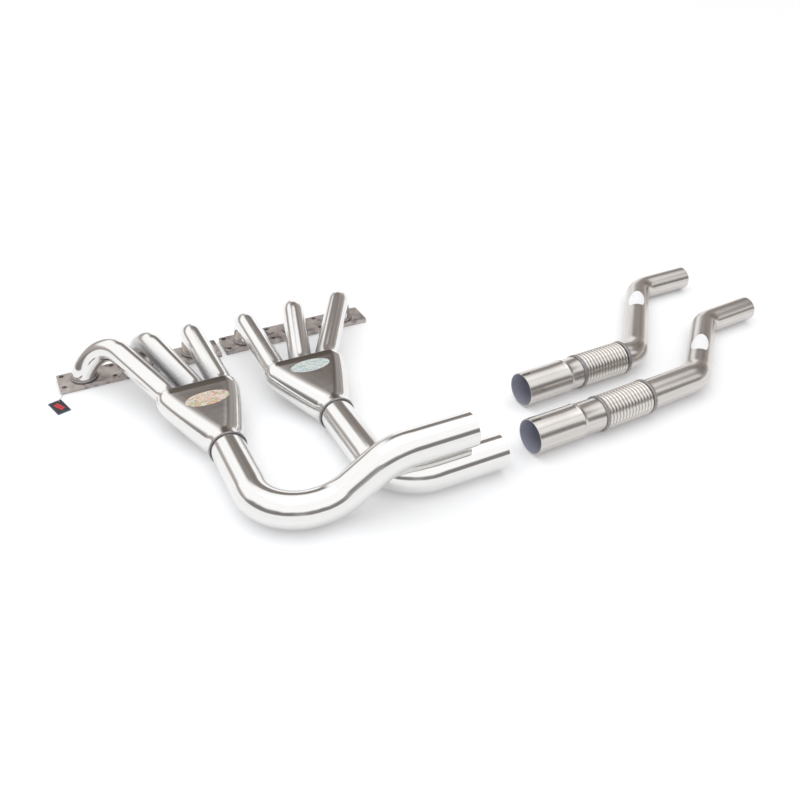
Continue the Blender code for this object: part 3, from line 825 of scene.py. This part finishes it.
def buildOutlet(side):
    spec = manifolds[side]
    size = tubes["outlet"] * mm
    start = spot(spec["outletX"], mouth["y"] - spec["length"] + mouth["lap"], outletHeight)
    if side == "front":
        over = outletHeight + 2 * tubes["outlet"] + spec["passGap"]
        corners = [
            (start, 0, size),
            (spot(spec["outletX"], spec["runY"] + 8, outletHeight), tubes["outletBend"] * mm, size),
            (spot(spec["riseFrom"], spec["runY"] + 4, outletHeight), tubes["riseBend"] * mm, size),
            (spot(spec["riseTo"], spec["runY"], over), tubes["riseBend"] * mm, size),
            (spot(spec["outletEnd"], spec["runY"], over), 0, size),
        ]
    else:
        corners = [
            (start, 0, size),
            (spot(spec["outletX"], spec["runY"], outletHeight), tubes["outletBend"] * mm, size),
            (spot(spec["outletEnd"], spec["runY"], outletHeight), 0, size),
        ]
    mesh = sweep(pipeStations(bendPath(corners, 3.0), tubes["outletWall"] * mm), 88)
    seam = spot(spec["outletX"], mouth["y"] - spec["length"], outletHeight)

    def rule(vert):
        onSeam = vert.co.x < seam.x + size * 1.2
        return 0.8 * fading(seam.y - vert.co.y, heats["outlet"] * mm) if onSeam else 0

    marked(mesh, "heat", rule)
    node = f"{side}_outlet_tube"
    finished(node + "_pipe", mesh, "polished_tube", f"{side}_manifold", [node])


def cutBy(piece, tools):
    # cuts closed meshes out of a piece and keeps the result as its mesh
    for tool in tools:
        step = piece.modifiers.new(tool.name, "BOOLEAN")
        step.operation = "DIFFERENCE"
        step.solver = "EXACT"
        step.object = tool
    bpy.context.view_layer.update()
    graph = bpy.context.evaluated_depsgraph_get()
    data = bpy.data.meshes.new_from_object(piece.evaluated_get(graph))
    piece.modifiers.clear()
    old = piece.data
    piece.data = data
    bpy.data.meshes.remove(old)
    for tool in tools:
        bpy.data.objects.remove(tool)
    return data


def drum(name, place, radius, depth, segments):
    mesh = bmesh.new()
    bmesh.ops.create_cone(mesh, cap_ends=True, segments=segments, radius1=radius, radius2=radius, depth=depth)
    bmesh.ops.transform(mesh, matrix=place, verts=mesh.verts)
    return placed(name, mesh)


cuts = {"through": 40, "corner": 2.5, "portClear": 0.35, "lip": 0.5, "lipDeep": 0.1, "longEdge": 9}


def buildPortBar(side):
    cornerX, cornerY = manifolds[side]["corner"]
    length = 2 * ports["end"] + 2 * ports["pitch"]
    through = cuts["through"] * mm
    half = ports["thick"] / 2
    mesh = bmesh.new()
    bmesh.ops.create_cube(mesh, size=1)
    bmesh.ops.scale(mesh, vec=Vector((length, ports["width"], ports["thick"])) * mm, verts=mesh.verts)
    middle = spot(cornerX + length / 2, cornerY + ports["width"] / 2, half)
    bmesh.ops.translate(mesh, vec=middle, verts=mesh.verts)
    upright = [edge for edge in mesh.edges if abs(edge.verts[0].co.z - edge.verts[1].co.z) > 5 * mm]
    bmesh.ops.bevel(
        mesh, geom=upright, offset=cuts["corner"] * mm, segments=4, profile=0.5, affect="EDGES", material=-1
    )
    sharp = [edge for edge in mesh.edges if edge.calc_face_angle(0) > 1]
    bmesh.ops.bevel(mesh, geom=sharp, offset=0.7 * mm, segments=2, profile=0.5, affect="EDGES", material=-1)
    piece = finished(f"{side}_port_bar", mesh, "flange_steel", f"{side}_manifold", [f"{side}_flange"])
    tools = []
    for index in range(3):
        place = Matrix.Translation(portSpot(side, index, half))
        tools.append(drum(f"port_{index}", place, (tubes["primary"] + cuts["portClear"]) * mm, through, 64))
    between = [ports["end"] + gap * ports["pitch"] for gap in (0.5, 1.5)]
    for column, across in enumerate((ports["inset"], *between, length - ports["inset"])):
        for row, along in enumerate((ports["inset"], ports["width"] - ports["inset"])):
            place = Matrix.Translation(spot(cornerX + across, cornerY + along, half))
            tools.append(drum(f"bolt_{column}_{row}", place, ports["bolt"] / 2 * mm, through, 32))
            lip = Matrix.Translation(spot(cornerX + across, cornerY + along, ports["thick"] + cuts["lipDeep"]))
            lipRadius = (ports["bolt"] / 2 + cuts["lip"]) * mm
            tools.append(drum(f"lip_{column}_{row}", lip, lipRadius, 1.0 * mm, 32))
    data = cutBy(piece, tools)
    mesh = bmesh.new()
    mesh.from_mesh(data)
    bmesh.ops.triangulate(mesh, faces=mesh.faces)
    for _ in range(4):
        long = [edge for edge in mesh.edges if edge.calc_length() > cuts["longEdge"] * mm]
        bmesh.ops.subdivide_edges(mesh, edges=long, cuts=1)
        bmesh.ops.triangulate(mesh, faces=[face for face in mesh.faces if len(face.verts) > 3])
    heat = mesh.verts.layers.float.get("heat") or mesh.verts.layers.float.new("heat")
    centres = [portSpot(side, index, ports["thick"]) for index in range(3)]
    for vert in mesh.verts:
        away = min(((vert.co - centre).xy.length - tubes["primary"] * mm) for centre in centres)
        # hottest on the top face
        vert[heat] = fading(max(away, 0), heats["port"] * mm) * smooth(vert.co.z - zero.z, -2 * mm, 8 * mm)
    mesh.to_mesh(data)
    mesh.free()
    data.set_sharp_from_angle(angle=math.radians(30))
    return piece


film = {"top": 0.35, "under": 0.05, "dropFrom": 0.3, "segments": (30, 22)}


def buildLabel(name, shell, middle, size, turn, finish, body, slot, cutAt=None):
    # a thin oval laid over a curved surface, with one end cut straight where cutAt says
    mesh = bmesh.new()
    bmesh.ops.create_grid(mesh, x_segments=film["segments"][0], y_segments=film["segments"][1], size=1)
    for vert in mesh.verts:
        x, y = vert.co.x, vert.co.y
        vert.co = (x * math.sqrt(1 - y * y / 2), y * math.sqrt(1 - x * x / 2), 0)
    if cutAt is not None:
        everything = mesh.verts[:] + mesh.edges[:] + mesh.faces[:]
        bmesh.ops.bisect_plane(
            mesh, geom=everything, plane_co=(cutAt, 0, 0), plane_no=(-1, 0, 0), clear_outer=True
        )
    place = Matrix.Translation(middle) @ Matrix.Rotation(math.radians(turn), 4, "Z")
    place = place @ Matrix.Diagonal((size[0] * mm / 2, size[1] * mm / 2, 1, 1))
    bmesh.ops.transform(mesh, matrix=place, verts=mesh.verts)
    data = shell.data
    faces = [tuple(face.vertices) for face in data.polygons]
    tree = BVHTree.FromPolygons([vert.co for vert in data.vertices], faces)
    grown = bmesh.ops.extrude_face_region(mesh, geom=mesh.faces[:])["geom"]
    upper = {thing for thing in grown if isVert(thing)}
    for vert in mesh.verts:
        above = Vector((vert.co.x, vert.co.y, zero.z + film["dropFrom"]))
        point, normal, _, _ = tree.ray_cast(above, Vector((0, 0, -1)))
        if point:
            lift = film["top"] if vert in upper else film["under"]
            vert.co = point + normal * lift * mm
    return finished(name, mesh, finish, body, slot=slot, sharp=60)


shells = {}
for side in manifolds:
    buildPortBar(side)
    buildPrimaries(side)
    shells[side] = buildCollector(side)
    buildOutlet(side)
    print(side, "manifold built")

labels = {
    "front": {"at": (229.5, -259), "size": (78, 38), "turn": 2, "finish": "front_foil"},
    "rear": {"at": (428, -240), "size": (76, 34), "turn": 1, "finish": "rear_foil"},
}
for side, label in labels.items():
    middle = spot(*label["at"])
    buildLabel(
        f"{side}_foil_label", shells[side], middle, label["size"], label["turn"], label["finish"],
        f"{side}_manifold", "polished_tube",
    )
print("labels laid")

links = {
    "axis": 33.4, "clear": 0.2, "sleeveWall": 1.5, "sleeve": 98, "neckStep": 1.6, "lipBead": 1.3,
    "collar": 7, "collarRadius": 33.2, "flex": 102, "flexRadius": 32.4, "ripples": 14, "depth": 3.0, "gap": 0.3,
    "link": 28.6, "tail": 25.3, "wall": 1.6, "bend": 58,
    "liner": 23, "linerWall": 1.2, "linerShort": 12, "slot": 20, "slotWidth": 2.5, "slotDeep": 12,
}
linkPipes = {
    "front": {
        "mouth": (700, -562), "turn": 1.4, "neck": 44, "flexTurn": 3.0,
        "jog": ((145, 0, -2), (331, 146, -8)), "end": 461,
    },
    "rear": {
        "mouth": (767.5, -433.5), "turn": 2.6, "neck": 28.5, "flexTurn": -1.6,
        "jog": ((42, 0, -2), (252, 227, -8)), "end": 384,
    },
}


def linkAxis(spec):
    ahead = Vector((math.cos(math.radians(spec["turn"])), math.sin(math.radians(spec["turn"])), 0))
    return alongAxis(spot(*spec["mouth"], links["axis"]), ahead), ahead


def stationsFor(place, profile):
    # a profile of (distance, radius, inside) in millimetres, out along the outside and back along the inside
    return [(slid(place, along * mm), radius * mm, along * mm, inner) for along, radius, inner in profile]


def sleeveProfile(neck):
    bore = tubes["outlet"] + links["clear"]
    outer = bore + links["sleeveWall"]
    end = links["sleeve"]
    neckEnd = end + neck
    low = outer - links["neckStep"]
    lowBore = low - links["sleeveWall"]
    profile = [(0, outer - 0.3, 0), (0.3, outer, 0), (20, outer, 0), (60, outer, 0), (end - 6, outer, 0)]
    for step in range(1, 8):
        swell = links["lipBead"] * 0.5 * math.sin(math.pi * step / 8) ** 2
        profile.append((end - 6 + 6 * step / 8, outer + swell, 0))
    profile += [(end, outer - 0.2, 0), (end + 2, low + 0.4, 0), (end + 4, low, 0)]
    profile += [(neckEnd - 6, low, 0), (neckEnd, low, 0)]
    profile += [(neckEnd, lowBore, 1), (end + 4, lowBore, 1), (end - 1.5, bore, 1)]
    profile += [(60, bore, 1), (20, bore, 1), (0.3, bore, 1), (0, bore + 0.3, 0.4)]
    return profile


def flexStart(spec):
    # how far along the axis the bellows start, past the sleeve's neck and the first collar
    return links["sleeve"] + spec["neck"] + links["gap"] + links["collar"]


def buildSleeve(side, spec):
    place, ahead = linkAxis(spec)
    mesh = sweep(stationsFor(place, sleeveProfile(spec["neck"])), 88)
    neckEnd = slid(place, (links["sleeve"] + spec["neck"]) * mm).translation

    def rule(vert):
        return 0.9 * fading((neckEnd - vert.co).dot(ahead), heats["neck"] * mm)

    marked(mesh, "heat", rule)
    node = f"{side}_link_sleeve"
    piece = finished(node + "_pipe", mesh, "brushed_tube", f"{side}_link", [node])
    cutter = bmesh.new()
    bmesh.ops.create_cube(cutter, size=1)
    size = Vector((2 * links["slot"], links["slotWidth"], links["slotDeep"])) * mm
    bmesh.ops.scale(cutter, vec=size, verts=cutter.verts)
    turn = Matrix.Rotation(math.radians(spec["turn"]), 4, "Z")
    top = Matrix.Translation(spot(*spec["mouth"], links["axis"] + tubes["outlet"]))
    bmesh.ops.transform(cutter, matrix=top @ turn, verts=cutter.verts)
    cutBy(piece, [placed("slot", cutter)]).set_sharp_from_angle(angle=math.radians(32))


bellows = {"ringsEach": 8, "boreRings": 24, "crest": 0.75, "fade": 24, "skin": 1.2, "end": 0.5, "arcSteps": 12}


def buildFlex(side, spec):
    place, ahead = linkAxis(spec)
    bend = math.radians(spec["flexTurn"])
    half = links["flex"] / 2
    start = slid(place, flexStart(spec) * mm).translation

    def flexPlace(distance):
        # the flex curves evenly from the sleeve's direction to the tail's
        share = (distance + half) / (2 * half)
        steps = bellows["arcSteps"]
        point = start.copy()
        for step in range(steps):
            part = share * (step + 0.5) / steps
            point += Matrix.Rotation(bend * part, 3, "Z") @ ahead * (share * 2 * half * mm / steps)
        return alongAxis(point, Matrix.Rotation(bend * share, 3, "Z") @ ahead)

    ripples, depth = links["ripples"], links["depth"]
    count = ripples * bellows["ringsEach"]
    outer = []
    low = -half + bellows["end"]
    span = links["flex"] - 2 * bellows["end"]
    for step in range(count + 1):
        share = step / count
        wave = (0.5 - 0.5 * math.cos(math.tau * share * ripples)) ** bellows["crest"]
        fade = min(1, share * bellows["fade"] + 0.2, (1 - share) * bellows["fade"] + 0.2)
        outer.append((low + span * share, links["flexRadius"] - depth + depth * wave * fade, 0))
    boreRadius = links["flexRadius"] - depth - bellows["skin"]
    rings = bellows["boreRings"]
    inner = [(low + span * step / rings, boreRadius, 1) for step in range(rings, -1, -1)]
    stations = [(flexPlace(along), radius * mm, along * mm, inside) for along, radius, inside in outer + inner]
    mesh = sweep(stations, 80)
    ends = [flexPlace(-half).translation, flexPlace(half).translation]

    def rule(vert):
        return 0.7 * max(fading((vert.co - end).dot(ahead), heats["flex"] * mm) for end in ends)

    marked(mesh, "heat", rule)
    deep = (links["flexRadius"] - depth) * mm
    layer = mesh.verts.layers.float_vector["skin"]

    # the valleys between the ripples, which the finish darkens as painted shade
    def valley(vert):
        off = vert.co - flexPlace(vert[layer].z / mm).translation
        return 1 - smooth(off.length, deep, deep + 0.6 * depth * mm)

    marked(mesh, "crevice", valley)
    node = f"{side}_flex_bellows"
    piece = finished(node + "_skin", mesh, "flex_steel", None, [node], sharp=70)
    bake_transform(piece, f"{side}_link", f"{side}_link_tail", start=ends[0], end=ends[1])
    weld = welds["collar"]
    for end, body, label in ((-1, "link", "inlet"), (1, "link_tail", "outlet")):
        centre = slid(flexPlace(end * half), end * links["collar"] / 2 * mm)
        mesh = weldBead(
            centre, (links["collarRadius"] - weld["inset"]) * mm, links["collar"] / 2 * weld["lap"] * mm,
            weld["height"] * mm, weld["ripples"], end * weld["seed"],
        )
        node = f"{side}_flex_{label}_collar"
        finished(node + "_bead", mesh, "weld_steel", f"{side}_{body}", [node], sharp=60)


def buildLiner(side, spec):
    # a thin sleeve inside the bellows, flared to meet the neck
    place, ahead = linkAxis(spec)
    radius, wall = links["liner"], links["linerWall"]
    start = links["sleeve"] + spec["neck"]
    flare = tubes["outlet"] + links["clear"] - links["neckStep"] - links["gap"]
    end = start + links["flex"] - links["linerShort"]
    outer = [(start - 4, flare), (start + 2, radius + 2.5), (start + 6, radius), (end, radius)]
    profile = [(along, size, 1) for along, size in outer]
    profile += [(along, size - wall, 1) for along, size in reversed(outer)]
    mesh = sweep(stationsFor(place, profile), 64)
    node = f"{side}_flex_liner"
    finished(node + "_sleeve", mesh, "brushed_tube", f"{side}_link", [node])


def buildLinkTube(side, spec):
    place, ahead = linkAxis(spec)
    hinge = slid(place, (flexStart(spec) + links["flex"] / 2) * mm).translation
    tailTurn = math.radians(spec["turn"] + spec["flexTurn"])
    turn = Matrix.Translation(hinge) @ Matrix.Rotation(tailTurn, 4, "Z")

    def tailSpot(x, y, z):
        return turn @ (Vector((x, y, z)) * mm)

    last = spec["jog"][-1]
    half = links["flex"] / 2
    corners = [(tailSpot(half + 0.8, 0, 0), 0, links["link"] * mm)]
    bend, size = links["bend"] * mm, links["tail"] * mm
    corners += [(tailSpot(half + x, y, z), bend, size) for x, y, z in spec["jog"]]
    corners.append((tailSpot(half + spec["end"], last[1], last[2]), 0, size))
    path = bendPath(corners)
    mesh = sweep(pipeStations(path, links["wall"] * mm), 80)
    heatFrom(mesh, [(path[0][0] + ahead * 4 * mm, heats["tail"] * mm)])
    node = f"{side}_link_tube"
    return finished(node + "_pipe", mesh, "brushed_tube", f"{side}_link_tail", [node]), path


linkTubes = {}
for side, spec in linkPipes.items():
    buildSleeve(side, spec)
    buildFlex(side, spec)
    buildLiner(side, spec)
    linkTubes[side] = buildLinkTube(side, spec)
    print(side, "link pipe built")

stickers = {
    "front": {"at": (1156, -477), "size": (80, 31), "cut": -0.6, "aside": 4},
    "rear": {"at": (1175, -266), "size": (82, 32), "cut": -0.6, "aside": 4},
}
for side, sticker in stickers.items():
    tube, path = linkTubes[side]
    aim = spot(*sticker["at"], 30)
    nearest = min(range(1, len(path) - 1), key=lambda number: (path[number][0] - aim).length)
    ahead = path[nearest + 1][0] - path[nearest - 1][0]
    turn = math.degrees(math.atan2(ahead.y, ahead.x))
    across = Vector((-ahead.y, ahead.x, 0)).normalized() * sticker["aside"] * mm
    buildLabel(
        f"{side}_paper_sticker", tube, path[nearest][0] + across, sticker["size"], turn, "paper",
        f"{side}_link_tail", "brushed_tube", sticker["cut"],
    )
print("stickers laid")

tag = {
    "size": (25, 46, 1.2), "middle": (-17, -51), "height": 0.25, "turn": 16, "edge": 0.3, "curl": 0.3,
    "wire": 0.6, "wireBend": 2.2, "tip": 0.2, "hole": (12, -4),
    "loop": (
        (0, 0, 3), (0, 0, 9), (-1, -4, 11.6), (-3.4, -9.6, 11.2), (-5.4, -10.4, 5), (-7, -13, 1.2),
        (-10.5, -20, 0.95), (-15.3, -27.0, 1.0), (-16, -31, 1.9), (-14.5, -33.5, 2.1),
    ),
}


def buildCard(hole):
    width, height, thick = tag["size"]
    mesh = bmesh.new()
    face = mesh.verts.layers.float_vector.new("face")
    bmesh.ops.create_grid(mesh, x_segments=10, y_segments=18, size=1)
    bmesh.ops.scale(mesh, vec=(width / 2 * mm, height / 2 * mm, 1), verts=mesh.verts)
    grown = bmesh.ops.extrude_face_region(mesh, geom=mesh.faces[:])["geom"]
    bmesh.ops.translate(mesh, vec=(0, 0, thick * mm), verts=[thing for thing in grown if isVert(thing)])
    rims = [edge for edge in mesh.edges if edge.is_manifold and edge.calc_face_angle(0) > 1]
    bmesh.ops.bevel(
        mesh, geom=rims, offset=tag["edge"] * mm, segments=2, profile=0.5, affect="EDGES", material=-1
    )
    for vert in mesh.verts:
        across, along = vert.co.x / (width / 2 * mm), vert.co.y / (height / 2 * mm)
        vert[face] = (across, along, 0)
        vert.co.z += tag["curl"] * mm * (1 - across ** 2)
    place = Matrix.Translation(hole + Vector((*tag["middle"], tag["height"])) * mm)
    place = place @ Matrix.Rotation(math.radians(tag["turn"]), 4, "Z")
    bmesh.ops.transform(mesh, matrix=place, verts=mesh.verts)
    finished("tag_card_print", mesh, "tag_card", "tag", ["tag_card"])


def buildWire(hole):
    # up through the bolt hole, over the bar's edge and down to the card
    size, bend = tag["wire"] * mm, tag["wireBend"] * mm
    ends = (tag["loop"][0], tag["loop"][-1])
    corners = [(hole + Vector(point) * mm, 0 if point in ends else bend, size) for point in tag["loop"]]
    path = bendPath(corners, 12, 3)
    frames = framesAlong([point for point, _ in path])
    tip = size * tag["tip"]
    stations = [(frames[0], tip)] + [(place, size) for place in frames] + [(frames[-1], tip)]
    mesh = bmesh.new()
    strand = bmesh.ops.create_circle(mesh, segments=10, radius=1, cap_ends=True)["verts"]
    now = Matrix.Identity(4)
    cap = mesh.faces[:]
    for number, (place, radius) in enumerate(stations):
        if number:
            grown = bmesh.ops.extrude_face_region(mesh, geom=cap)["geom"]
            strand = [thing for thing in grown if isVert(thing)]
            old = cap
            cap = [thing for thing in grown if isinstance(thing, bmesh.types.BMFace)]
            if number > 1:
                bmesh.ops.delete(mesh, geom=old, context="FACES_ONLY")
        target = place @ Matrix.Scale(radius, 4)
        bmesh.ops.transform(mesh, matrix=target @ now.inverted(), verts=strand)
        now = target
    finished("tag_wire_loop", mesh, "tag_wire", "tag", ["tag_wire"])


buildCard(spot(*tag["hole"]))
buildWire(spot(*tag["hole"]))
for side in manifolds:
    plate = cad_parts[f"{side}_merge_plate"]
    plate.data.materials.clear()
    plate.data.materials.append(finishes["weld_steel"])
print("tag and plates done")

# a white room with soft dark patches; back, low and sides are their colours
studio = {
    "floor": 30.0, "floorMiddle": (0.5, 0.5, -0.0002), "floorGlow": 0.12, "light": 1.2,
    "lamp": 9, "lampSize": (3.0, 2.0), "lampAt": (0.1, 0.2, 2.6),
    "back": (0.21, 0.185, 0.17), "low": (0.20, 0.19, 0.19), "sides": (0.36, 0.32, 0.30),
}

mesh = bmesh.new()
bmesh.ops.create_grid(mesh, x_segments=4, y_segments=4, size=studio["floor"])
bmesh.ops.translate(mesh, vec=studio["floorMiddle"], verts=mesh.verts)
floor = placed("floor", mesh)
floor.data.materials.append(floorFinish())

lamp = bpy.data.objects.new("overhead", bpy.data.lights.new("overhead", "AREA"))
scene.collection.objects.link(lamp)
lamp.data.shape = "RECTANGLE"
lamp.data.size, lamp.data.size_y = studio["lampSize"]
lamp.data.energy = studio["lamp"]
lamp.location = studio["lampAt"]

scene.world = bpy.data.worlds.new("studio")
sky = Paint(scene.world, "Background")
heading = sky.make("ShaderNodeTexCoord", {}, {}, "Generated")
east, north, up = sky.parts(heading)
turn = math.radians(view["turn"])
front = east * math.sin(turn) - north * math.cos(turn)  # 1 towards the open side of the room
aside = east * math.cos(turn) + north * math.sin(turn)
ragged = up + (sky.noise(heading, 3.4, 3.0, 0.6) * 0.22 - 0.11)
backWall = ragged.step(0.26, 0.36) * ragged.step(0.73, 0.65) * front.step(0.08, -0.16)
backWall = backWall * aside.step(-0.46, -0.27)
lowFront = up.step(0.03, 0.20) * ragged.step(0.54, 0.38) * front.step(0.02, 0.25)
lowSides = up.step(0.06, 0.13) * ragged.step(0.40, 0.30) * aside.away().step(0.20, 0.34)
patch = sky.noise(heading, 2.2, 2.0, 0.5) * 0.7 + 0.62
room = sky.mix((lowSides * patch).clip(), (1, 1, 1), studio["sides"])
room = sky.mix((backWall * patch).clip(), room, studio["back"])
room = sky.mix((lowFront * patch).clip(), room, studio["low"])
direct = sky.make("ShaderNodeLightPath", {}, {}, "Is Camera Ray")
# the camera sees plain white behind the floor
sky.coat(Color=sky.mix(direct, room, (1, 1, 1)), Strength=studio["light"])

scene.view_settings.view_transform = "Standard"
print("studio lit")
